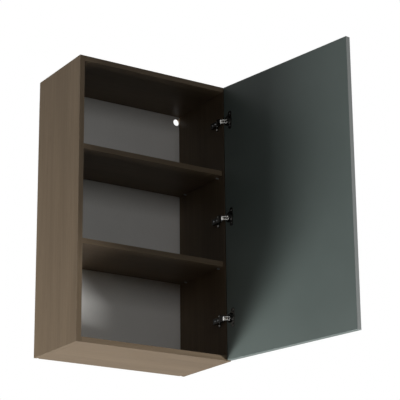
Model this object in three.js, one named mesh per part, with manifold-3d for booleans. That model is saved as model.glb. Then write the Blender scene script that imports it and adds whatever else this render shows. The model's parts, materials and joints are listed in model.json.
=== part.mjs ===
// Hanging wall cabinet: a board carcass with a thin back, two loose shelves and one door
// on three concealed cup hinges, with the door standing open.
// Millimetres. +X is to the right seen from the front, +Y into the wall, +Z up. The origin
// is on the wall plane, midway between the two hanging holes.
import * as THREE from "three";
import { mergeVertices } from "three/addons/utils/BufferGeometryUtils.js";
import Module from "manifold-3d";

const wasm = await Module();
wasm.setup();

// ---- Driving dimensions ----
const WIDTH = 600;
const DEPTH = 300;
const HEIGHT = 1000;
const BOARD = 18;
const GAP = 0.3; // left between pieces that touch

const HANG_SIDE = 30; // from a hanging hole's centre to the outer side face
const HANG_DROP = 40; // from the top face down to a hanging hole's centre
const HANG_RADIUS = 12.5;

const BACK_THICK = 3;
const REBATE_DEPTH = 5.5; // rebate for the back panel, along Y
const REBATE_WIDTH = 8;

const SHELF_BOTTOMS = { lower: 336, upper: 668 }; // underside above the cabinet's base
const SHELF_SETBACK = 10;
const SHELF_SIDE_PLAY = 1;

const DOOR_REVEAL = 2; // door edges inside the carcass edges
const DOOR_GAP = 3; // between the closed door and the carcass's front edges
const DOOR_OPEN = 99.1; // degrees open as stored

const HINGE_HEIGHTS = { top: 866, middle: 506, bottom: 146 }; // above the cabinet's base
const LINE_SETBACK = 37; // drilling line of the front fittings, from the front edge
const LINE_REAR = 50; // drilling line of the rear fittings, from the wall plane

// ---- Faces and centres worked out from them ----
const TOP = HANG_DROP;
const BASE = HANG_DROP - HEIGHT;
const FRONT = -DEPTH;
const SIDE_INNER = WIDTH / 2 - BOARD;
const HANG_X = WIDTH / 2 - HANG_SIDE;
const FITTING_LINES = { front: FRONT + LINE_SETBACK, rear: -LINE_REAR };

// ---- Materials ----
const finish = (color, roughness, metalness) =>
  new THREE.MeshStandardMaterial({ color, roughness, metalness });

const woodDecor = () => finish(0x5f5040, 0.62, 0);
const doorPaint = () => finish(0x66736d, 0.42, 0);
const backBoard = () => finish(0xa8a49c, 0.7, 0);
const nickel = () => finish(0xb4b1aa, 0.3, 1);
const zincSteel = () => finish(0xb9bcbe, 0.38, 1);
const castZinc = () => finish(0x9b9a96, 0.45, 1);

// ---- Solids ----
function solid(geometry) {
  const bare = geometry.clone();
  bare.deleteAttribute("normal");
  bare.deleteAttribute("uv");
  const merged = mergeVertices(bare, 1e-4);
  return new wasm.Manifold(
    new wasm.Mesh({
      numProp: 3,
      vertProperties: new Float32Array(merged.attributes.position.array),
      triVerts: new Uint32Array(merged.index.array),
    }),
  );
}

function surface(manifold) {
  const made = manifold.getMesh();
  const geometry = new THREE.BufferGeometry();
  geometry.setAttribute("position", new THREE.BufferAttribute(made.vertProperties, 3));
  geometry.setIndex(new THREE.BufferAttribute(made.triVerts, 1));
  const flat = geometry.toNonIndexed();
  flat.computeVertexNormals();
  return flat;
}

function piece(name, shape, material) {
  const mesh = new THREE.Mesh(shape.isBufferGeometry ? shape : surface(shape), material);
  mesh.name = name;
  return mesh;
}

// A box between two opposite corners.
function block(low, high) {
  const size = high.map((value, axis) => value - low[axis]);
  const geometry = new THREE.BoxGeometry(...size);
  geometry.translate(...low.map((value, axis) => value + size[axis] / 2));
  return solid(geometry);
}

// A round bar from one point, along X, Y or Z, for a signed length.
function bar(radius, start, axis, length, sides = 24) {
  const geometry = new THREE.CylinderGeometry(radius, radius, Math.abs(length), sides);
  if (axis === "x") geometry.rotateZ(Math.PI / 2);
  if (axis === "z") geometry.rotateX(Math.PI / 2);
  const middle = [...start];
  middle["xyz".indexOf(axis)] += length / 2;
  geometry.translate(...middle);
  return solid(geometry);
}

// A flat outline in the X-Y plane, raised along Z between two heights.
function slab(shape, low, high, curveSegments = 8) {
  const geometry = new THREE.ExtrudeGeometry(shape, {
    depth: high - low,
    bevelEnabled: false,
    curveSegments,
  });
  geometry.translate(0, 0, low);
  return solid(geometry);
}

// An outline with two round ends, from one centre to the other.
function strapShape(from, to, radius) {
  const along = Math.atan2(to[1] - from[1], to[0] - from[0]);
  const shape = new THREE.Shape();
  shape.absarc(...from, radius, along + Math.PI / 2, along + (3 * Math.PI) / 2);
  shape.absarc(...to, radius, along - Math.PI / 2, along + Math.PI / 2);
  shape.closePath();
  return shape;
}

// ---- Pan-head screws, head up along +Z, underside of the head at z = 0 ----
const SCREW_HEAD = 3.6; // radius
const SCREW_HEAD_HEIGHT = 2;
const SCREW_SHANK = 1.9; // radius
const SCREW_TIP = 2.5; // length of the point

function screw(shankLength) {
  const profile = [
    [0, -shankLength],
    [SCREW_SHANK, SCREW_TIP - shankLength],
    [SCREW_SHANK, 0],
    [SCREW_HEAD, 0],
    [SCREW_HEAD, SCREW_HEAD_HEIGHT * 0.7],
    [SCREW_HEAD * 0.8, SCREW_HEAD_HEIGHT],
    [0, SCREW_HEAD_HEIGHT],
  ].map(([radius, height]) => new THREE.Vector2(radius, height));
  const body = new THREE.LatheGeometry(profile, 12);
  body.rotateX(Math.PI / 2);
  // A cross recess in the head.
  const reach = SCREW_HEAD * 0.55;
  const half = SCREW_HEAD * 0.13;
  const floor = SCREW_HEAD_HEIGHT * 0.45;
  const above = SCREW_HEAD_HEIGHT + 1;
  return solid(body)
    .subtract(block([-reach, -half, floor], [reach, half, above]))
    .subtract(block([-half, -reach, floor], [half, reach, above]));
}

// Turns a shape modelled along +Z so that it points along -X or +Y.
function pointed(manifold, direction) {
  const geometry = surface(manifold);
  if (direction === "-x") geometry.rotateY(-Math.PI / 2);
  if (direction === "+y") geometry.rotateX(-Math.PI / 2);
  return geometry;
}

const cabinet = new THREE.Group();
const add = (mesh, x = 0, y = 0, z = 0) => {
  mesh.position.set(x, y, z);
  cabinet.add(mesh);
};

// ---- Shelf pins: a steel peg half in the side panel, half under the shelf ----
const PIN_RADIUS = 2.5;
const PIN_IN = 9;
const PIN_OUT = 9;
const pinHeight = (level) => BASE + SHELF_BOTTOMS[level] - GAP - PIN_RADIUS;

// ---- Cam locks: zinc drums that pull the top and bottom panels to the sides ----
const CAM_RADIUS = 7.5;
const CAM_DEPTH = 12.5;
const CAM_INSET = 34; // from the panel's end
const CAM_X = SIDE_INNER - CAM_INSET;

// ---- Hanging plates: steel corners let into the rear edges of the side and top panels ----
const PLATE_THICK = 1.5;
const PLATE_INWARD = 62; // from the outer side face
const PLATE_DOWN = 72; // from the top face
const HANG_SLOT_RADIUS = 4;
const HANG_SLOT_TOP = 17;
const PLATE_SCREWS = [[248, 31], [291, 6], [291, -24]]; // X out from the middle, and Z
const COUNTERSINK = [3.8, 2.2]; // radius at the plate's rear face, and behind it

function hangingPlateShape(side) {
  const outer = side * (WIDTH / 2 - GAP);
  const inner = side * (WIDTH / 2 - PLATE_INWARD);
  const leg = BOARD + REBATE_WIDTH;
  const shape = new THREE.Shape();
  const outline = [
    [outer, TOP - GAP],
    [inner, TOP - GAP],
    [inner, TOP - leg],
    [side * (WIDTH / 2 - leg - 8), TOP - PLATE_DOWN],
    [outer, TOP - PLATE_DOWN],
  ];
  outline.forEach(([x, z], index) => (index ? shape.lineTo(x, z) : shape.moveTo(x, z)));
  shape.closePath();
  return shape;
}

function hangingPlate(side) {
  // The outline lies in X-Z, so it is raised along Z and turned to stand up.
  const plate = surface(slab(hangingPlateShape(side), 0, PLATE_THICK));
  plate.rotateX(Math.PI / 2);
  let drilled = solid(plate);
  for (const [x, z] of PLATE_SCREWS) {
    const sink = new THREE.CylinderGeometry(...COUNTERSINK, PLATE_THICK + 0.2, 16);
    sink.translate(side * x, -PLATE_THICK / 2, z);
    drilled = drilled.subtract(solid(sink));
  }
  return drilled
    .subtract(bar(HANG_RADIUS, [side * HANG_X, 1, 0], "y", -PLATE_THICK - 2, 32))
    .subtract(bar(HANG_SLOT_RADIUS, [side * HANG_X, 1, HANG_SLOT_TOP], "y", -PLATE_THICK - 2, 20))
    .subtract(
      block(
        [side * HANG_X - HANG_SLOT_RADIUS, -PLATE_THICK - 1, 0],
        [side * HANG_X + HANG_SLOT_RADIUS, 1, HANG_SLOT_TOP],
      ),
    );
}

// The shallow seat that a hanging plate lies in, cut from the panels around it.
function plateSeat(side) {
  const near = WIDTH / 2 - PLATE_INWARD - GAP;
  const far = WIDTH / 2 + 1;
  return block(
    [side > 0 ? near : -far, -PLATE_THICK - GAP, TOP - PLATE_DOWN - GAP],
    [side > 0 ? far : -near, 1, TOP + 1],
  );
}

// ---- Hinge drilling, shared by the side panel and the door ----
const SCREW_SPACING = 32; // mounting-plate screws
const SCREW_CORE = 2.3; // clearance radius round a screw's shank
const SCREW_HOLE = 14; // depth drilled, with the tool's run-in
const CUP_RADIUS = 17.5;
const CUP_DEPTH = 12;
const CUP_EDGE = 3.5; // wood left between the cup and the door's hinge edge
const EAR_SPACING = 45; // cup screws
const EAR_OFFSET = 9.5; // cup screws' line, beyond the cup's centre
const hingeZ = (place) => BASE + HINGE_HEIGHTS[place];
const HINGES = Object.keys(HINGE_HEIGHTS);

// ---- Side panels ----
for (const [name, side] of [["left", -1], ["right", 1]]) {
  const inner = side * SIDE_INNER;
  const outer = (side * WIDTH) / 2;
  const [low, high] = [Math.min(inner, outer), Math.max(inner, outer)];
  const rebate = inner + side * REBATE_WIDTH;
  let panel = block([low, FRONT, BASE], [high, 0, TOP])
    .subtract(
      block(
        [Math.min(inner - side, rebate), -REBATE_DEPTH, BASE - 1],
        [Math.max(inner - side, rebate), 1, TOP + 1],
      ),
    )
    .subtract(plateSeat(side));
  for (const level of Object.keys(SHELF_BOTTOMS)) {
    for (const y of Object.values(FITTING_LINES)) {
      const hole = [inner - side, y, pinHeight(level)];
      panel = panel.subtract(bar(PIN_RADIUS + GAP, hole, "x", side * (PIN_IN + 2), 12));
    }
  }
  if (name === "right") {
    for (const place of HINGES) {
      for (const end of [-1, 1]) {
        const z = hingeZ(place) + (end * SCREW_SPACING) / 2;
        const hole = [inner - side, FITTING_LINES.front, z];
        panel = panel.subtract(bar(SCREW_CORE, hole, "x", side * SCREW_HOLE, 12));
      }
    }
  }
  add(piece("side_panel_" + name, panel, woodDecor()));
}

// ---- Top and bottom panels, between the sides, and their cam locks ----
function camLock() {
  const slot = 1.1;
  const reach = CAM_RADIUS * 0.7;
  const sunk = CAM_DEPTH - 3;
  return bar(CAM_RADIUS, [0, 0, 0], "z", CAM_DEPTH, 20)
    .subtract(block([-reach, -slot, sunk], [reach, slot, CAM_DEPTH + 1]))
    .subtract(block([-slot, -reach, sunk], [slot, reach, CAM_DEPTH + 1]));
}

const END = SIDE_INNER - GAP;
for (const [name, floor, inward] of [["top", TOP - BOARD, -1], ["bottom", BASE, 1]]) {
  // The rebate runs along the panel's inner rear corner.
  const face = inward > 0 ? floor + BOARD : floor;
  const rebate = face - inward * REBATE_WIDTH;
  let panel = block([-END, FRONT, floor], [END, 0, floor + BOARD])
    .subtract(
      block(
        [-END - 1, -REBATE_DEPTH, Math.min(face + inward, rebate)],
        [END + 1, 1, Math.max(face + inward, rebate)],
      ),
    );
  if (name === "top") panel = panel.subtract(plateSeat(-1)).subtract(plateSeat(1));
  // Both panels take their cams from above: on top of the cabinet, and on its floor.
  const mouth = floor + BOARD;
  for (const [hand, side] of [["left", -1], ["right", 1]]) {
    for (const [row, y] of Object.entries(FITTING_LINES)) {
      const pocket = [side * CAM_X, y, mouth + 1];
      panel = panel.subtract(bar(CAM_RADIUS + GAP, pocket, "z", -CAM_DEPTH - 1 - 2 * GAP, 20));
      const cam = piece(["cam_lock", name, hand, row].join("_"), camLock(), castZinc());
      add(cam, side * CAM_X, y, mouth - CAM_DEPTH - GAP);
    }
  }
  add(piece(name + "_panel", panel, woodDecor()));
}

// ---- Back panel: thin board in the rebates, with the two hanging holes ----
const BACK_X = SIDE_INNER + REBATE_WIDTH - GAP;
const BACK_FRONT = GAP - REBATE_DEPTH;
let back = block(
  [-BACK_X, BACK_FRONT, BASE + BOARD - REBATE_WIDTH + GAP],
  [BACK_X, BACK_FRONT + BACK_THICK, TOP - BOARD + REBATE_WIDTH - GAP],
);
for (const side of [-1, 1]) {
  back = back.subtract(bar(HANG_RADIUS, [side * HANG_X, 1, 0], "y", -REBATE_DEPTH - 2, 32));
}
add(piece("back_panel", back, backBoard()));
add(piece("hanging_plate_left", hangingPlate(-1), zincSteel()));
add(piece("hanging_plate_right", hangingPlate(1), zincSteel()));

// ---- Shelves, loose on their pins ----
for (const [level, underside] of Object.entries(SHELF_BOTTOMS)) {
  const reach = SIDE_INNER - SHELF_SIDE_PLAY;
  const z = BASE + underside;
  const shelf = block([-reach, FRONT + SHELF_SETBACK, z], [reach, BACK_FRONT - 1, z + BOARD]);
  add(piece("shelf_" + level, shelf, woodDecor()));
  for (const [hand, side] of [["left", -1], ["right", 1]]) {
    for (const [row, y] of Object.entries(FITTING_LINES)) {
      const start = [side * (SIDE_INNER - PIN_OUT), y, pinHeight(level)];
      const pin = bar(PIN_RADIUS, start, "x", side * (PIN_IN + PIN_OUT), 12);
      add(piece(["shelf_pin", level, hand, row].join("_"), pin, zincSteel()));
    }
  }
}

// ---- The door's turning axis, and the hinge link pivots with the door as stored ----
// The links' real paths share no one centre: this axis carries the door exactly from
// closed to the stored angle. Points are X, and Y measured from the carcass's front edge.
const POLE = [291.28, -11.32];
const INNER_PIVOTS = { arm: [269.7, -0.9], cup: [285.3, -13.9] };
const OUTER_PIVOTS = { arm: [266.9, 6.2], cup: [289.8, -11.7] };
const INNER_BEND = [278.5, -12.5];
const OUTER_BENDS = [[274.8, 0.5], [279.5, -13]];

const hingeGroups = {};
for (const place of HINGES) {
  const group = new THREE.Group();
  group.position.set(0, FRONT, hingeZ(place));
  cabinet.add(group);
  hingeGroups[place] = group;
}

// ---- Door, modelled closed and turned open about its axis ----
const doorGroup = new THREE.Group();
doorGroup.position.set(POLE[0], FRONT + POLE[1], 0);
doorGroup.rotation.z = THREE.MathUtils.degToRad(DOOR_OPEN);
cabinet.add(doorGroup);

const DOOR_EDGE = WIDTH / 2 - DOOR_REVEAL;
const DOOR_FACE = FRONT - DOOR_GAP; // inner face, closed
const CUP_X = DOOR_EDGE - CUP_EDGE - CUP_RADIUS;
const EAR_X = CUP_X - EAR_OFFSET;
const EAR_SCREW = 11; // length of a cup screw's shank

let door = block(
  [-DOOR_EDGE, DOOR_FACE - BOARD, BASE + DOOR_REVEAL],
  [DOOR_EDGE, DOOR_FACE, TOP - DOOR_REVEAL],
);
for (const place of HINGES) {
  const z = hingeZ(place);
  door = door.subtract(
    bar(CUP_RADIUS + GAP, [CUP_X, DOOR_FACE + 1, z], "y", -CUP_DEPTH - 1 - 2 * GAP, 36),
  );
  for (const end of [-1, 1]) {
    const hole = [EAR_X, DOOR_FACE + 1, z + (end * EAR_SPACING) / 2];
    door = door.subtract(bar(SCREW_CORE, hole, "y", -EAR_SCREW - 2, 12));
  }
}

const inDoor = (mesh, z = 0) => {
  mesh.position.set(-POLE[0], -FRONT - POLE[1], z);
  doorGroup.add(mesh);
};
inDoor(piece("door", door, doorPaint()));

// ---- Hinge cups: a pressed cup with two ears, open at the hinge side for the links ----
const CUP_WALL = 0.8;
const FLANGE_THICK = 1;
const LIP_RADIUS = 19;
const EAR_LENGTH = 67;
const EAR_WIDTH = 15;
const NOTCH_HALF = 7.4; // half width of the opening for the links
const NOTCH_DEPTH = 6.5;

function hingeCup() {
  // Built with its mouth up along +Z, ears along Y, then turned to face out of the door.
  const lip = new THREE.Shape();
  lip.absarc(0, 0, LIP_RADIUS, 0, 2 * Math.PI);
  const halfEar = EAR_LENGTH / 2 - EAR_WIDTH / 2;
  const ears = strapShape([-EAR_OFFSET, -halfEar], [-EAR_OFFSET, halfEar], EAR_WIDTH / 2);
  let cup = slab(lip, GAP, GAP + FLANGE_THICK, 18)
    .add(slab(ears, GAP, GAP + FLANGE_THICK, 8))
    .add(bar(CUP_RADIUS, [0, 0, -CUP_DEPTH], "z", CUP_DEPTH + GAP + FLANGE_THICK / 2, 36))
    .subtract(bar(CUP_RADIUS - CUP_WALL, [0, 0, CUP_WALL - CUP_DEPTH], "z", CUP_DEPTH + 5, 36));
  for (const end of [-1, 1]) {
    const hole = [-EAR_OFFSET, (end * EAR_SPACING) / 2, -1];
    cup = cup.subtract(bar(SCREW_CORE, hole, "z", 4, 12));
  }
  return cup.subtract(
    block([CUP_RADIUS * 0.6, -NOTCH_HALF, -NOTCH_DEPTH], [LIP_RADIUS + 1, NOTCH_HALF, 3]),
  );
}

for (const place of HINGES) {
  const z = hingeZ(place);
  const cup = pointed(hingeCup(), "+y");
  cup.translate(CUP_X, DOOR_FACE, 0);
  inDoor(piece("hinge_cup_" + place, cup, nickel()), z);
  for (const [row, end] of [["lower", -1], ["upper", 1]]) {
    const made = pointed(screw(EAR_SCREW), "+y");
    made.translate(EAR_X, DOOR_FACE + 2 * GAP + FLANGE_THICK, (end * EAR_SPACING) / 2);
    inDoor(piece(["cup_screw", place, row].join("_"), made, nickel()), z);
  }
}

// ---- Hinge links ----
// Each turns on its arm pin. Their cup ends carry their own stub pins and stand free in
// the cup, because the door turns on its own axis.
const LINK_PIN = 1.2; // radius of every link pivot
const INNER_EYE = 2.2;
const INNER_HALF_THICK = 1.5;
const INNER_CHEEKS = [4.3, 6.2]; // from the hinge's middle to each cheek's two faces
const OUTER_EYE = 2.1;
const OUTER_HALF_THICK = 0.9;
const OUTER_HALF_WIDTH = 3.6;
const STUB = 1; // a stub pin's reach past its link

// A bent bar of rounded straps through a route of points, between two heights.
function bentStrap(route, halfThick, low, high) {
  let strap = slab(strapShape(route[0], route[1], halfThick), low, high, 3);
  for (let i = 2; i < route.length; i++) {
    strap = strap.add(slab(strapShape(route[i - 1], route[i], halfThick), low, high, 3));
  }
  return strap;
}

function innerLink() {
  const { arm, cup } = INNER_PIVOTS;
  const route = [arm, INNER_BEND, cup];
  const [near, far] = INNER_CHEEKS;
  let link = bar(INNER_EYE, [...arm, -far], "z", 2 * far, 12);
  for (const side of [-1, 1]) {
    const [low, high] = [side * near, side * far].sort((p, q) => p - q);
    link = link
      .add(bentStrap(route, INNER_HALF_THICK, low, high))
      .add(bar(INNER_EYE, [...cup, low], "z", far - near, 12))
      .add(bar(LINK_PIN, [...cup, side * near], "z", side * (far - near + STUB), 10));
  }
  return link.subtract(bar(LINK_PIN + GAP, [...arm, -far - 1], "z", 2 * far + 2, 10));
}

function outerLink() {
  const { arm, cup } = OUTER_PIVOTS;
  const half = OUTER_HALF_WIDTH;
  return bentStrap([arm, ...OUTER_BENDS, cup], OUTER_HALF_THICK, -half, half)
    .add(bar(OUTER_EYE, [...arm, -half], "z", 2 * half, 12))
    .add(bar(LINK_PIN + 0.5, [...cup, -half], "z", 2 * half, 10))
    .add(bar(LINK_PIN, [...cup, -half - STUB / 2], "z", 2 * half + STUB, 10))
    .subtract(bar(LINK_PIN + GAP, [...arm, -half - 1], "z", 2 * half + 2, 10));
}

// ---- Hinge arms: a pressed channel over the mounting plate, open towards the side panel ----
// Its side outline, as X, and Y from the carcass's front edge: a narrow nose round the two
// arm pins, a swept web, and a straight stretch over the mounting plate.
const ARM_HALF = 10; // half its width along Z
const ARM_WALL = 1.4;
const NOSE = { front: -3.6, web: 264.3, open: 272.4, back: 5 };
const ARM_WEB_BULGE = [262.8, 8];
const ARM_WEB_BEND = [263.5, 18];
const ARM_TAIL = { web: 268, open: 277.6, start: 24, end: 60 };

function armShape(inset) {
  // Inset moves the web and the rear end inwards, and opens the other sides right out.
  const open = inset ? 20 : 0;
  const webStart = [ARM_TAIL.web + inset, ARM_TAIL.start];
  const shape = new THREE.Shape();
  shape.moveTo(NOSE.web + inset, NOSE.front - open);
  shape.lineTo(ARM_WEB_BULGE[0] + inset, ARM_WEB_BULGE[1]);
  shape.quadraticCurveTo(ARM_WEB_BEND[0] + inset, ARM_WEB_BEND[1], ...webStart);
  shape.lineTo(ARM_TAIL.web + inset, ARM_TAIL.end - inset);
  shape.lineTo(ARM_TAIL.open + open, ARM_TAIL.end - inset);
  shape.lineTo(ARM_TAIL.open + open, ARM_TAIL.start);
  shape.quadraticCurveTo(ARM_TAIL.open + open, 2 * NOSE.back, NOSE.open + open, NOSE.back);
  shape.lineTo(NOSE.open + open, NOSE.front - open);
  shape.closePath();
  return shape;
}

function hingeArm() {
  const inside = ARM_HALF - ARM_WALL;
  let arm = slab(armShape(0), -ARM_HALF, ARM_HALF).subtract(
    slab(armShape(ARM_WALL), -inside, inside),
  );
  for (const pivots of [INNER_PIVOTS, OUTER_PIVOTS]) {
    const start = [...pivots.arm, -ARM_HALF - 1];
    arm = arm.subtract(bar(LINK_PIN + GAP, start, "z", 2 * ARM_HALF + 2, 10));
  }
  return arm;
}

// ---- Mounting plates: two wings for the screws and a raised rail for the arm ----
const WING_THICK = 2;
const WING_HALF_LENGTH = 23;
const WING_HALF_WIDTH = 6;
const RAIL_HALF = 6;
const RAIL_TOP = 270.5; // X of the rail's top
const RAIL_ENDS = [22, 56];
const PLATE_SCREW = 12; // length of a mounting-plate screw's shank

function mountingPlate() {
  const seat = SIDE_INNER - GAP;
  const wing = strapShape(
    [LINE_SETBACK, WING_HALF_WIDTH - WING_HALF_LENGTH],
    [LINE_SETBACK, WING_HALF_LENGTH - WING_HALF_WIDTH],
    WING_HALF_WIDTH,
  );
  // The wing's outline is in Y-Z: raised along Z, then turned to lie on the side panel.
  const flat = surface(slab(wing, 0, WING_THICK));
  flat.rotateZ(Math.PI / 2);
  flat.rotateY(-Math.PI / 2);
  flat.translate(seat, 0, 0);
  let plate = solid(flat);
  plate = plate.add(
    block([RAIL_TOP, RAIL_ENDS[0], -RAIL_HALF], [seat, RAIL_ENDS[1], RAIL_HALF]),
  );
  for (const end of [-1, 1]) {
    const hole = [seat + 1, LINE_SETBACK, (end * SCREW_SPACING) / 2];
    plate = plate.subtract(bar(SCREW_CORE, hole, "x", -WING_THICK - 2, 12));
  }
  return plate;
}

for (const place of HINGES) {
  const group = hingeGroups[place];
  group.add(piece("hinge_arm_" + place, hingeArm(), nickel()));
  group.add(piece("mounting_plate_" + place, mountingPlate(), nickel()));
  group.add(piece("inner_link_" + place, innerLink(), nickel()));
  group.add(piece("outer_link_" + place, outerLink(), nickel()));
  for (const [row, pivots] of [["front", INNER_PIVOTS], ["rear", OUTER_PIVOTS]]) {
    const pin = bar(LINK_PIN, [...pivots.arm, -ARM_HALF], "z", 2 * ARM_HALF, 10);
    group.add(piece(["arm_pin", place, row].join("_"), pin, zincSteel()));
  }
  for (const [row, end] of [["lower", -1], ["upper", 1]]) {
    const made = pointed(screw(PLATE_SCREW), "-x");
    const head = SIDE_INNER - 2 * GAP - WING_THICK;
    made.translate(head, LINE_SETBACK, (end * SCREW_SPACING) / 2);
    group.add(piece(["plate_screw", place, row].join("_"), made, nickel()));
  }
}

export default cabinet;
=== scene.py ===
"""A tall hanging wall cabinet: brown wood-grain boards, a light grey back, two loose shelves
and a grey-green slab door standing open on three concealed hinges. Metres, +X to the right
seen from the front, +Y into the wall, +Z up, origin between the two hanging holes."""

import json
import math

import bpy
import numpy as np
from mathutils import Euler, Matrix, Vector


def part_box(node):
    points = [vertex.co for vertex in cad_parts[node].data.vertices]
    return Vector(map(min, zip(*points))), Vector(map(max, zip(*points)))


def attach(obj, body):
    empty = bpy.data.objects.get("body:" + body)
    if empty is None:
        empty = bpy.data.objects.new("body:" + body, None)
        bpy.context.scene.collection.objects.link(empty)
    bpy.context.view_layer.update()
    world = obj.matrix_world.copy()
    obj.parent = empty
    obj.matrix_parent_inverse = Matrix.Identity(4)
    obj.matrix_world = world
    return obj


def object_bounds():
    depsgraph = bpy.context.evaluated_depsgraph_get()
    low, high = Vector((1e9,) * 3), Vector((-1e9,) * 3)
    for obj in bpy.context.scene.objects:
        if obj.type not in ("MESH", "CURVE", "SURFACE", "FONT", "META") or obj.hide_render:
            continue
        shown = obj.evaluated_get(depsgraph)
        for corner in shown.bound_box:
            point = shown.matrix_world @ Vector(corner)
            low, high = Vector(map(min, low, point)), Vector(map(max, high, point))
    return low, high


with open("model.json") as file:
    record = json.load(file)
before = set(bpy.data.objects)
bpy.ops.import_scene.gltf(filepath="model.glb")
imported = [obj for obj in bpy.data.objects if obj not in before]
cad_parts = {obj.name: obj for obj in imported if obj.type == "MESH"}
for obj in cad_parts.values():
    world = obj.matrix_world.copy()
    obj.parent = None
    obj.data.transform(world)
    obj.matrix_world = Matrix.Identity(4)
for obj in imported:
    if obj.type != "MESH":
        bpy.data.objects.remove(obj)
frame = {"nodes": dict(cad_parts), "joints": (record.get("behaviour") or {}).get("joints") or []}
nodes = frame["nodes"]
cad_low, cad_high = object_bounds()

# ---------------------------------------------------------------------------------------
# The viewer stands to the left, low down, and looks up at the open cabinet through a long
# lens. The view is shifted a little, so that the upright edges stay close to upright.
# ---------------------------------------------------------------------------------------
VIEW_FROM = Vector((-2.656, -4.663, -2.095))
VIEW_TURN = math.radians(31.19)  # towards +X
VIEW_TILT = math.radians(17.31)  # upwards
VIEW_LENS = 141.6
VIEW_SHIFT = (0.12, 0.05)
SENSOR_WIDTH = 36.0

camera_data = bpy.data.cameras.new("viewpoint")
camera_data.sensor_width = SENSOR_WIDTH
camera_data.lens = VIEW_LENS
camera_data.shift_x, camera_data.shift_y = VIEW_SHIFT
camera_data.clip_end = 100.0
camera = bpy.data.objects.new("viewpoint", camera_data)
camera.location = VIEW_FROM
camera.rotation_euler = Euler((math.pi / 2 + VIEW_TILT, 0.0, -VIEW_TURN))
bpy.context.scene.collection.objects.link(camera)
bpy.context.scene.camera = camera


# ---------------------------------------------------------------------------------------
# Side panels: 18 mm chipboard faced with a brown wood-grain laminate, the grain upright.
# The front, top and bottom edges are banded to match. The rear edge is left raw.
# ---------------------------------------------------------------------------------------
class Value:
    """One socket of a material's node tree. Arithmetic on numbers adds Math nodes."""

    def __init__(self, tree, socket=None):
        self.tree = tree
        self.socket = socket

    def node(self, kind, settings=None, inputs=None, output=0):
        """Adds a node of that kind, makes its settings, then sets or links its inputs."""
        made = self.tree.nodes.new(kind)
        for key, value in (settings or {}).items():
            setattr(made, key, value)
        for key, value in (inputs or {}).items():
            target = made.inputs[key]
            if isinstance(value, Value):
                self.tree.links.new(value.socket, target)
            elif isinstance(value, tuple) and len(value) == 3 and target.type == "RGBA":
                target.default_value = (*value, 1.0)
            else:
                target.default_value = value
        return Value(self.tree, made.outputs[output])

    def math(self, operation, other=0.0):
        """Self and one other number, through a Math node."""
        return self.node("ShaderNodeMath", {"operation": operation}, {0: self, 1: other})

    def __add__(self, other):
        return self.math("ADD", other)

    __radd__ = __add__

    def __sub__(self, other):
        return self.math("SUBTRACT", other)

    def __rsub__(self, other):
        return self * -1.0 + other

    def __mul__(self, other):
        return self.math("MULTIPLY", other)

    __rmul__ = __mul__

    def __abs__(self):
        return self.math("ABSOLUTE")

    def step(self, start, end):
        """0 below start, 1 above end, and smooth between them."""
        settings = {"interpolation_type": "SMOOTHSTEP"}
        return self.node("ShaderNodeMapRange", settings, {0: self, 1: start, 2: end})

    def mix(self, low, high):
        """A colour between two, with self as the share of the second."""
        return self.node("ShaderNodeMix", {"data_type": "RGBA"}, {0: self, 6: low, 7: high}, 2)

    def axes(self):
        """The three parts of a vector."""
        split = self.node("ShaderNodeSeparateXYZ", None, {0: self}).socket.node
        return [Value(self.tree, output) for output in split.outputs]

    def stretched(self, *scales):
        """A vector with each part scaled by its own number."""
        settings = {"operation": "MULTIPLY"}
        return self.node("ShaderNodeVectorMath", settings, {0: self, 1: scales})

    def noise(self, scale, detail=3.0, roughness=0.5, distortion=0.0):
        """A cloudy pattern, from 0 to 1, over self as a place."""
        inputs = {"Vector": self, "Scale": scale, "Detail": detail}
        inputs.update({"Roughness": roughness, "Distortion": distortion})
        return self.node("ShaderNodeTexNoise", None, inputs, "Fac")


class Finish:
    """A material with a Principled surface. start is its tree, as a Value to build on."""

    def __init__(self, name, **fixed):
        self.material = bpy.data.materials.new(name)
        self.material.use_nodes = True
        tree = self.material.node_tree
        tree.nodes.clear()
        self.surface = tree.nodes.new("ShaderNodeBsdfPrincipled")
        output = tree.nodes.new("ShaderNodeOutputMaterial")
        tree.links.new(self.surface.outputs[0], output.inputs[0])
        self.start = Value(tree)
        for key, value in fixed.items():
            self.surface.inputs[key.replace("_", " ")].default_value = value

    def place(self, turn=0.0, about=(0.0, 0.0, 0.0)):
        """Object coordinates, moved to a point and turned back about the upright."""
        here = self.start.node("ShaderNodeTexCoord", output="Object")
        centred = self.start.node(
            "ShaderNodeVectorMath", {"operation": "SUBTRACT"}, {0: here, 1: about}
        )
        return self.start.node(
            "ShaderNodeMapping", None, {"Vector": centred, "Rotation": (0.0, 0.0, -turn)}
        )

    def facing(self, turn=0.0):
        """The surface's own direction, turned back about the upright."""
        normal = self.start.node("ShaderNodeTexCoord", output="Normal")
        settings = {"vector_type": "NORMAL"}
        return self.start.node(
            "ShaderNodeMapping", settings, {"Vector": normal, "Rotation": (0.0, 0.0, -turn)}
        )

    def wear(self, **looks):
        """Links a colour, roughness or metallic to the surface."""
        for key, value in looks.items():
            target = self.surface.inputs[key.replace("_", " ")]
            self.start.tree.links.new(value.socket, target)

    def relief(self, height, depth):
        """Raises the surface by a height from 0 to 1, of that depth in metres."""
        inputs = {"Height": height, "Distance": depth, "Strength": 1.0}
        bump = self.start.node("ShaderNodeBump", None, inputs)
        self.start.tree.links.new(bump.socket, self.surface.inputs["Normal"])


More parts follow.
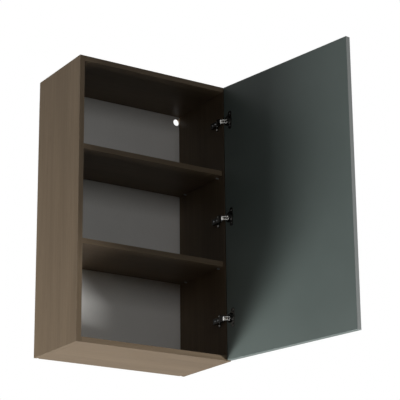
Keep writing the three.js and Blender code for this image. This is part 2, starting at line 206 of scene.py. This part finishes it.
GRAIN_PALE = (0.213, 0.156, 0.100)
GRAIN_DEEP = (0.146, 0.104, 0.063)
PORE_BROWN = (0.085, 0.058, 0.037)
RUBBED_BROWN = (0.34, 0.27, 0.20)
CHIP_PALE = (0.46, 0.34, 0.21)
CHIP_DEEP = (0.26, 0.17, 0.09)
BAND_THICK = 0.0008  # the edge band, behind the front edge
GLUE_HALF = 0.00025  # half the width of its glue line
ARRIS = 0.0006  # width of the rubbed corners
GRAIN_DEPTH = 0.00008
BOARD_EDGE = 0.0005  # rounding of a board's sharp edges
SHARPEST = math.radians(40)  # corners sharper than this are rounded


def laminate(name, grain, low, high, seed):
    """Wood-grain laminate on one board. Broad tone bands, long streaks and short dark pores
    are noise drawn out along the grain axis. A thin line marks the banded front edge, and
    faces that look to the rear show chipboard."""
    finish = Finish(name, Specular_IOR_Level=0.22)
    place = finish.place(about=(0.37 * seed, 0.21 * seed, 0.53 * seed))
    x, y, z = finish.place().axes()
    along = "xyz".index(grain)

    def drawn(across, lengthwise):
        scales = [across] * 3
        scales[along] = lengthwise
        return place.stretched(*scales)

    bands = drawn(9.0, 0.9).noise(1.0, 2.0, 0.5, 0.6)
    streaks = drawn(150.0, 3.2).noise(1.0, 5.0, 0.62, 0.25)
    pores = drawn(620.0, 16.0).noise(1.0, 2.0, 0.5).step(0.60, 0.72)
    clusters = drawn(22.0, 5.0).noise(1.0, 2.0, 0.5).step(0.35, 0.7)
    tone = (bands * 0.55 + streaks * 0.75 - 0.15).math("MINIMUM", 1.0)
    colour = tone.step(0.25, 0.85).mix(GRAIN_DEEP, GRAIN_PALE)
    colour = (pores * clusters * 0.55).mix(colour, PORE_BROWN)

    # The edge band's glue line, just behind the front edge, and the rubbed arris.
    seam = abs(y - (low.y + BAND_THICK)).step(GLUE_HALF, GLUE_HALF / 2)
    facing_front = abs(finish.facing().axes()[1]).step(0.6, 0.4)
    colour = (seam * facing_front * 0.55).mix(colour, PORE_BROWN)
    middle = (low + high) / 2
    reach = [
        (high[axis] - low[axis]) / 2 - abs(value - middle[axis])
        for axis, value in enumerate((x, y, z))
    ]
    nearest = [part.step(ARRIS * 1.6, ARRIS * 0.4) for part in reach]
    corners = nearest[0] * nearest[1] + nearest[1] * nearest[2] + nearest[0] * nearest[2]
    rubbed = corners.math("MINIMUM", 1.0) * place.noise(35.0, 4.0, 0.6).step(0.40, 0.62)
    colour = (rubbed * 0.35).mix(colour, RUBBED_BROWN)

    # Raw chipboard where the board looks to the rear.
    rear = finish.facing().axes()[1].step(0.5, 0.7)
    flakes = {"Vector": place.stretched(1.0, 1.0, 2.2), "Scale": 420.0}
    chips = place.node("ShaderNodeTexVoronoi", None, flakes, "Color").axes()[0]
    dust = place.noise(900.0, 2.0, 0.6)
    core = (chips * 0.7 + dust * 0.4 - 0.05).mix(CHIP_DEEP, CHIP_PALE)
    colour = rear.mix(colour, core)

    smears = place.noise(6.0, 4.0, 0.6)
    rough = streaks * 0.10 + smears * 0.10 + pores * 0.10 + rear * 0.3 + 0.36
    finish.wear(Base_Color=colour, Roughness=rough)
    height = streaks * 0.35 - pores * 0.6 - seam * facing_front * 0.8 + rear * chips * 1.5
    finish.relief(height, GRAIN_DEPTH)
    return finish.material


def dress(name, material, edge):
    """Gives a frame node its material, and rounds its sharp edges by that much."""
    node = nodes[name]
    node.data.materials.clear()
    node.data.materials.append(material)
    weld = node.modifiers.new("weld", "WELD")
    weld.merge_threshold = 1e-5
    bevel = node.modifiers.new("edges", "BEVEL")
    bevel.width = edge
    bevel.segments = 2
    bevel.limit_method = "ANGLE"
    bevel.angle_limit = SHARPEST


for seed, name in enumerate(("side_panel_left", "side_panel_right")):
    dress(name, laminate(name + "_laminate", "z", *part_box(name), 1 + seed), BOARD_EDGE)

# ---------------------------------------------------------------------------------------
# Top and bottom panels: the same laminated board, cut to fit between the sides, with the
# grain running across. Cam locks pull each end tight against its side panel.
# ---------------------------------------------------------------------------------------
for seed, name in enumerate(("top_panel", "bottom_panel")):
    dress(name, laminate(name + "_laminate", "x", *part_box(name), 5 + seed), BOARD_EDGE)

# ---------------------------------------------------------------------------------------
# Cam locks: die-cast zinc drums, dull grey and slightly pitted, let into bored holes near
# the ends of the top and bottom panels. A cross slot takes the screwdriver that turns them.
# ---------------------------------------------------------------------------------------
ROWS = [(side, row) for side in ("left", "right") for row in ("front", "rear")]


def bare_metal(name, pale, deep, shine, pit, lay=(1.0, 1.0, 1.0), handled=0.12):
    """Bare or plated metal. Cloudy tone, handling marks in the shine, and a fine relief
    drawn out along the way it was rolled or left even where it was cast."""
    finish = Finish(name, Metallic=1.0)
    place = finish.place()
    clouds = place.noise(90.0, 4.0, 0.6)
    lines = place.stretched(*lay).noise(1400.0, 3.0, 0.6)
    marks = place.noise(260.0, 5.0, 0.7).step(0.45, 0.75)
    colour = (clouds * 0.7 + lines * 0.3).mix(deep, pale)
    rough = clouds * 0.06 + marks * handled + lines * 0.06 + shine
    finish.wear(Base_Color=colour, Roughness=rough)
    finish.relief(lines * 0.6 + marks * 0.4, pit)
    return finish.material


CAM_EDGE = 0.0003
cast_zinc = bare_metal("cast_zinc", (0.46, 0.46, 0.45), (0.27, 0.27, 0.27), 0.34, 0.00006)
for panel in ("top", "bottom"):
    for side, row in ROWS:
        dress(f"cam_lock_{panel}_{side}_{row}", cast_zinc, CAM_EDGE)

# ---------------------------------------------------------------------------------------
# Back panel: 3 mm fibreboard with a light grey lacquered face. Its rear face and the edges
# of the two punched hanging holes are bare brown fibre.
# ---------------------------------------------------------------------------------------
BACK_GREY = (0.86, 0.85, 0.825)
BACK_GREY_DEEP = (0.81, 0.80, 0.775)
FIBRE_PALE = (0.36, 0.24, 0.14)
FIBRE_DEEP = (0.22, 0.135, 0.07)
FIBRE_DEPTH = 0.00006
BACK_EDGE = 0.0003


def fibreboard():
    """Even lacquer with a faint roller pattern and clouds in front. Matted brown fibres,
    which are noise drawn out two ways at once, wherever it doesn't face the room."""
    finish = Finish("fibreboard", Specular_IOR_Level=0.4)
    place = finish.place()
    front = (finish.facing().axes()[1] * -1.0).step(0.4, 0.6)
    clouds = place.noise(5.0, 3.0, 0.5)
    roller = place.stretched(1.0, 1.0, 0.12).noise(420.0, 2.0, 0.5)
    lacquer = (clouds * 0.6 + roller * 0.4).step(0.3, 0.7).mix(BACK_GREY_DEEP, BACK_GREY)
    strands = place.stretched(1.0, 1.0, 0.2).noise(650.0, 3.0, 0.6, 1.0)
    crossed = place.stretched(0.2, 1.0, 1.0).noise(650.0, 3.0, 0.6, 1.0)
    fibre = (strands * 0.5 + crossed * 0.5).step(0.35, 0.65).mix(FIBRE_DEEP, FIBRE_PALE)
    finish.wear(
        Base_Color=front.mix(fibre, lacquer),
        Roughness=front * (roller * 0.1 - 0.32) + clouds * 0.1 + 0.72,
    )
    finish.relief(roller * 0.3 + strands * (1.0 - front * 0.9), FIBRE_DEPTH)
    return finish.material


dress("back_panel", fibreboard(), BACK_EDGE)

# ---------------------------------------------------------------------------------------
# Nails: small steel brads with domed heads hold the back panel in its rebates, all round
# its rear face. The corners have none, because the hanging plates cover them.
# ---------------------------------------------------------------------------------------
CROSS_HALF = 0.15  # half the width of a recess's bars, as a share of the head's radius
CROSS_REACH = 0.62  # how far they run out, as a share of it


def fastener_heads(name, centres, outward, shape, recess=0.0, spokes=32):
    """Round heads on one face, as one mesh. Each is a profile of (radius, height) pairs,
    height along outward, carried round a circle of spokes and closed by a point at both
    ends. Over the dome the height loses a cross: two bars at right angles, each a ramp of
    the distance from its middle line, that fade out at a set share of the head's radius."""
    normal = np.array(outward)
    first = np.array((0.0, 0.0, 1.0))
    second = np.cross(normal, first)
    radius, height = np.array(shape).T
    angle = np.linspace(0.0, 2.0 * np.pi, spokes, endpoint=False)
    r = np.repeat(radius[1:-1, None], spokes, 1)
    u, v = r * np.cos(angle), r * np.sin(angle)
    head = radius.max()

    def inside(distance, edge, soft):
        """1 within the edge, 0 beyond it, falling evenly over twice soft."""
        return 1.0 - np.clip((np.abs(distance) / head - edge + soft) / (2.0 * soft), 0.0, 1.0)

    cross = np.maximum(inside(u, CROSS_HALF, 0.04), inside(v, CROSS_HALF, 0.04))
    cross *= inside(r, CROSS_REACH, 0.08)
    domed = (np.arange(len(radius))[1:-1] < np.argmax(radius))[:, None]
    h = height[1:-1, None] - recess * cross * domed
    ring = u[..., None] * first + v[..., None] * second + h[..., None] * normal
    ends = np.array((height[0] - recess, height[-1]))[:, None] * normal
    one = np.concatenate([ring.reshape(-1, 3), ends])
    rows = len(radius) - 2
    i, j = np.meshgrid(np.arange(rows - 1), np.arange(spokes), indexing="ij")
    k = (j + 1) % spokes
    quads = np.stack(
        [i * spokes + j, (i + 1) * spokes + j, (i + 1) * spokes + k, i * spokes + k], -1
    ).reshape(-1, 4)
    j = np.arange(spokes)
    k = (j + 1) % spokes
    last = (rows - 1) * spokes
    tip = np.stack([np.full(spokes, rows * spokes), j, k], -1)
    base = np.stack([np.full(spokes, rows * spokes + 1), last + k, last + j], -1)
    points, faces = [], []
    for index, centre in enumerate(centres):
        start = index * len(one)
        points += (one + np.array(centre)).tolist()
        faces += (quads + start).tolist() + (tip + start).tolist() + (base + start).tolist()
    mesh = bpy.data.meshes.new(name)
    mesh.from_pydata(points, [], faces)
    mesh.shade_smooth()
    mesh.set_sharp_from_angle(angle=math.radians(35))
    made = bpy.data.objects.new(name, mesh)
    bpy.context.scene.collection.objects.link(made)
    return made


def dome(radius, rise, sink, steps):
    """A head's profile: a quarter ellipse from the crown to the rim, then straight down."""
    t = np.linspace(0.0, np.pi / 2, steps)
    pairs = [(radius * math.sin(a), rise * math.cos(a)) for a in t]
    return pairs + [(radius, -sink), (0.0, -sink)]


back_low, back_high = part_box("back_panel")
NAIL_HEAD = 0.0013  # radius
NAIL_RISE = 0.0006  # of the domed head
NAIL_SINK = 0.0002  # of its rim below the panel's face
NAIL_INSET = 0.0038  # from the back panel's edge
CORNER_FREE = 0.07  # kept clear under each hanging plate
side_nails = np.linspace(back_low.z + 0.03, back_high.z - CORNER_FREE, 10)
end_nails = np.linspace(back_low.x + CORNER_FREE, back_high.x - CORNER_FREE, 6)
left_and_right = (back_low.x + NAIL_INSET, back_high.x - NAIL_INSET)
low_and_high = (back_low.z + NAIL_INSET, back_high.z - NAIL_INSET)
nails = [(x, back_high.y, z) for z in side_nails for x in left_and_right]
nails += [(x, back_high.y, z) for x in end_nails for z in low_and_high]
nail_shape = dome(NAIL_HEAD, NAIL_RISE, NAIL_SINK, 6)
nail_heads = fastener_heads("back_panel_nails", nails, (0.0, 1.0, 0.0), nail_shape, 0.0, 16)
bright_steel = bare_metal("bright_steel", (0.62, 0.62, 0.60), (0.36, 0.35, 0.33), 0.28, 0.00002)
nail_heads.data.materials.append(bright_steel)
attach(nail_heads, "cabinet")

# ---------------------------------------------------------------------------------------
# Hanging plates: zinc-plated sheet steel corners, let into the rear edges of the boards. The
# cabinet hangs by the round holes in them, on two hooks in the wall.
# ---------------------------------------------------------------------------------------
zinc_plate = bare_metal(
    "zinc_plate", (0.66, 0.68, 0.70), (0.48, 0.50, 0.53), 0.26, 0.00003, (1.0, 1.0, 0.15)
)
STEEL_EDGE = 0.0002
for side in ("left", "right"):
    dress(f"hanging_plate_{side}", zinc_plate, STEEL_EDGE)

# ---------------------------------------------------------------------------------------
# Plate screws: three countersunk steel screws fix each hanging plate to the boards behind
# it. Their flat heads lie just below the plate's rear face, in its countersinks.
# ---------------------------------------------------------------------------------------
plate_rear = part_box("hanging_plate_right")[1].y
SINK_PLACES = [(0.248, 0.031), (0.291, 0.006), (0.291, -0.024)]  # X out, and Z
SINK_BELOW = 0.0002  # the flat heads, below the plate's rear face
SUNK_HEAD = 0.0036  # radius
SUNK_NECK = (0.0023, -0.00115)  # radius and height where the cone under a head ends
sunk_head = [(0.0, 0.0), *[(SUNK_HEAD * t, 0.0) for t in np.linspace(0.1, 0.96, 12)]]
sunk_head += [(SUNK_HEAD, -0.0001), SUNK_NECK, (0.0, SUNK_NECK[1])]
for side, sign in (("left", -1.0), ("right", 1.0)):
    centres = [(sign * x, plate_rear - SINK_BELOW, z) for x, z in SINK_PLACES]
    name = f"hanging_plate_screws_{side}"
    screws = fastener_heads(name, centres, (0.0, 1.0, 0.0), sunk_head, 0.0009, 48)
    screws.data.materials.append(bright_steel)
    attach(screws, "cabinet")

# ---------------------------------------------------------------------------------------
# Shelves: two loose boards of the same laminate, a little short of the front. Each rests on
# four zinc-plated steel pins that are pushed into holes in the side panels.
# ---------------------------------------------------------------------------------------
PIN_EDGE = 0.0004
for seed, level in enumerate(("upper", "lower")):
    name = "shelf_" + level
    dress(name, laminate(name + "_laminate", "x", *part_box(name), 9 + seed), BOARD_EDGE)
    for side, row in ROWS:
        dress(f"shelf_pin_{level}_{side}_{row}", zinc_plate, PIN_EDGE)

# ---------------------------------------------------------------------------------------
# Door: a plain 18 mm slab in a satin grey-green finish, its upright edges paler. It was
# made shut and is stored open, so its patterns turn back about the hinge axis.
# ---------------------------------------------------------------------------------------
hinge_joint = next(j for j in frame["joints"] if j["name"] == "door_hinge")
HINGE_AXIS = tuple(hinge_joint["pos_m"])
DOOR_OPEN = -math.radians(hinge_joint["range_deg"][0])
DOOR_GREEN = (0.152, 0.190, 0.177)
DOOR_GREEN_DEEP = (0.131, 0.166, 0.154)
DOOR_EDGE_GREY = (0.178, 0.190, 0.184)
DOOR_EDGE = 0.0006
PEEL_DEPTH = 0.00002


def door_finish():
    """Satin lacquer: near-even colour with slow clouds, a fine orange-peel relief, wiped
    smears in the shine, and paler upright edges picked out by the way a face looks."""
    finish = Finish("door_satin", Specular_IOR_Level=0.5, Coat_Weight=0.12, Coat_Roughness=0.3)
    place = finish.place(DOOR_OPEN, HINGE_AXIS)
    sides = [abs(part) for part in finish.facing(DOOR_OPEN).axes()]
    face = sides[1].math("MAXIMUM", sides[2]).step(0.5, 0.7)
    clouds = place.noise(3.0, 3.0, 0.5)
    peel = place.noise(520.0, 2.0, 0.5)
    smears = place.stretched(1.0, 1.0, 0.4).noise(7.0, 5.0, 0.65, 0.8)
    green = clouds.step(0.3, 0.7).mix(DOOR_GREEN_DEEP, DOOR_GREEN)
    finish.wear(
        Base_Color=face.mix(DOOR_EDGE_GREY, green),
        Roughness=smears * 0.10 + peel * 0.05 + 0.37,
    )
    finish.relief(peel, PEEL_DEPTH)
    return finish.material


dress("door", door_finish(), DOOR_EDGE)

# ---------------------------------------------------------------------------------------
# Concealed hinges: pressed steel. The cup, arm, mounting plate and cup screws are dark
# nickel, partly their finish and partly painted shade for the dark cabinet they reflect.
# Each has a cup with two ears in the door, an arm over a mounting plate on the side panel,
# and two bright links between them.
# ---------------------------------------------------------------------------------------
ROLLED = (1.0, 0.2, 1.0)  # the sheet's rolling lines run along the arm
PRESSED_DEPTH = 0.00001
nickel = bare_metal(
    "satin_nickel", (0.78, 0.77, 0.74), (0.62, 0.61, 0.585), 0.14, PRESSED_DEPTH, ROLLED, 0.03
)
# Dark nickel is a dark finish with painted shade in its colour: it stands in for the dark
# interior that the hinges reflect.
dark_nickel_painted_shade = bare_metal(
    "dark_nickel_painted_shade", (0.130, 0.128, 0.122), (0.080, 0.079, 0.076), 0.16, PRESSED_DEPTH, ROLLED, 0.05
)
for place in ("top", "middle", "bottom"):
    for part in ("hinge_cup", "hinge_arm", "mounting_plate"):
        dress(f"{part}_{place}", dark_nickel_painted_shade, STEEL_EDGE)
    for part in ("inner_link", "outer_link"):
        dress(f"{part}_{place}", nickel, STEEL_EDGE)
    for end in ("lower", "upper"):
        dress(f"cup_screw_{place}_{end}", dark_nickel_painted_shade, STEEL_EDGE)
        dress(f"plate_screw_{place}_{end}", nickel, STEEL_EDGE)
    for end in ("front", "rear"):
        dress(f"arm_pin_{place}_{end}", zinc_plate, STEEL_EDGE)

# ---------------------------------------------------------------------------------------
# Adjusting screws: two in each hinge arm, which set the door sideways and in depth. They
# are pan heads with a cross recess, on the flat of the arm behind its raised front.
# ---------------------------------------------------------------------------------------
ARM_FLAT = 0.268  # X of the flat's outer face
ADJUSTERS = [(0.0135, 0.0027), (0.0300, 0.0031)]  # Y from the arm's rear end, head radius
ADJUSTER_RISE = 0.0013  # of the domed head
ADJUSTER_SINK = 0.0003  # of its rim below the arm's face
ADJUSTER_RECESS = 0.0011
for place in ("top", "middle", "bottom"):
    arm_low, arm_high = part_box("hinge_arm_" + place)
    arm_z = (arm_low.z + arm_high.z) / 2
    for end, (ahead, radius) in zip(("rear", "front"), ADJUSTERS):
        name = f"adjusting_screw_{place}_{end}"
        centre = (ARM_FLAT, arm_high.y - ahead, arm_z)
        shape = dome(radius, ADJUSTER_RISE, ADJUSTER_SINK, 16)
        screw = fastener_heads(name, [centre], (-1.0, 0.0, 0.0), shape, ADJUSTER_RECESS, 48)
        screw.data.materials.append(zinc_plate)
        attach(screw, "cabinet")

# ---------------------------------------------------------------------------------------
# The studio: a pale floor well below the cabinet and a white surround. The main lamp is low
# on the left, so the cabinet shades part of the door, and softer lamps fill in the rest.
# ---------------------------------------------------------------------------------------
FLOOR_DROP = 6.0  # floor below the cabinet's base, out of the way of the lamps
FLOOR_RADIUS = 22.0


def floor_disc(radius, height, rings=6, spokes=96):
    """A flat disc: rings of points at even steps of radius, joined into quads."""
    r = np.linspace(0.02, radius, rings)
    a = np.linspace(0.0, 2.0 * np.pi, spokes, endpoint=False)
    level = np.full((rings, spokes), height)
    points = np.stack([np.outer(r, np.cos(a)), np.outer(r, np.sin(a)), level], -1).reshape(-1, 3)
    i, j = np.meshgrid(np.arange(rings - 1), np.arange(spokes), indexing="ij")
    k = (j + 1) % spokes
    quads = np.stack(
        [i * spokes + j, (i + 1) * spokes + j, (i + 1) * spokes + k, i * spokes + k], -1
    )
    mesh = bpy.data.meshes.new("floor")
    mesh.from_pydata(points.tolist(), [], quads.reshape(-1, 4).tolist())
    return mesh


floor = bpy.data.objects.new("floor", floor_disc(FLOOR_RADIUS, cad_low.z - FLOOR_DROP))
bpy.context.scene.collection.objects.link(floor)
floor_finish = Finish("pale_floor", Roughness=0.9, Emission_Strength=0.75)
mottle = floor_finish.place().noise(1.5, 3.0, 0.5)
pale = mottle.mix((0.83, 0.83, 0.82), (0.86, 0.86, 0.85))
floor_finish.wear(Base_Color=pale, Emission_Color=pale)
floor.data.materials.append(floor_finish.material)
floor.visible_diffuse = False  # it glows evenly, but lights nothing above it
floor.visible_glossy = False

world = bpy.data.worlds.new("surround")
bpy.context.scene.world = world
world.use_nodes = True
world.node_tree.nodes.clear()
sky = Value(world.node_tree)
seen = sky.node("ShaderNodeLightPath", output="Is Camera Ray")
mirrored = sky.node("ShaderNodeLightPath", output="Is Glossy Ray")
AMBIENT = 0.008  # what it sheds as light on everything
MIRRORED = 0.43  # what satin and metal faces reflect of the white surround
strength = seen * (1.0 - AMBIENT) + mirrored * (MIRRORED - AMBIENT) + AMBIENT
white = {"Color": (1.0, 1.0, 1.0), "Strength": strength}
backdrop = sky.node("ShaderNodeBackground", None, white)
world_output = world.node_tree.nodes.new("ShaderNodeOutputWorld")
world.node_tree.links.new(backdrop.socket, world_output.inputs[0])


def lamp(name, place, aim, width, height, power):
    """A soft rectangular lamp that faces a point."""
    data = bpy.data.lights.new(name, "AREA")
    data.shape = "RECTANGLE"
    data.size, data.size_y = width, height
    data.energy = power
    made = bpy.data.objects.new(name, data)
    made.location = place
    made.rotation_euler = (Vector(aim) - Vector(place)).to_track_quat("-Z", "Y").to_euler()
    bpy.context.scene.collection.objects.link(made)


side_low, side_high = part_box("side_panel_left")
middle = Vector((0.0, (side_low.y + side_high.y) / 2, (side_low.z + side_high.z) / 2))
lamp("low_left", (-3.9, 1.95, -3.1), middle, 1.9, 1.9, 135.0)
lamp("left_near", (-1.9, 1.0, -2.3), middle, 0.9, 0.9, 32.0)
lamp("underneath", (0.0, 0.1, -2.8), middle, 1.5, 1.5, 18.0)
lamp("front", (-0.2, -4.5, 0.3), middle, 1.6, 1.6, 17.0)
lamp("right_high", (2.2, -3.2, 1.0), middle, 1.5, 1.5, 3.0)
lamp("right_low", (2.8, -2.8, -2.32), middle, 0.8, 0.8, 150.0)
lamp("behind", (1.9, 1.9, 3.9), middle, 2.2, 2.2, 190.0)

scene = bpy.context.scene
scene.view_settings.view_transform = "Standard"
scene.view_settings.look = "None"
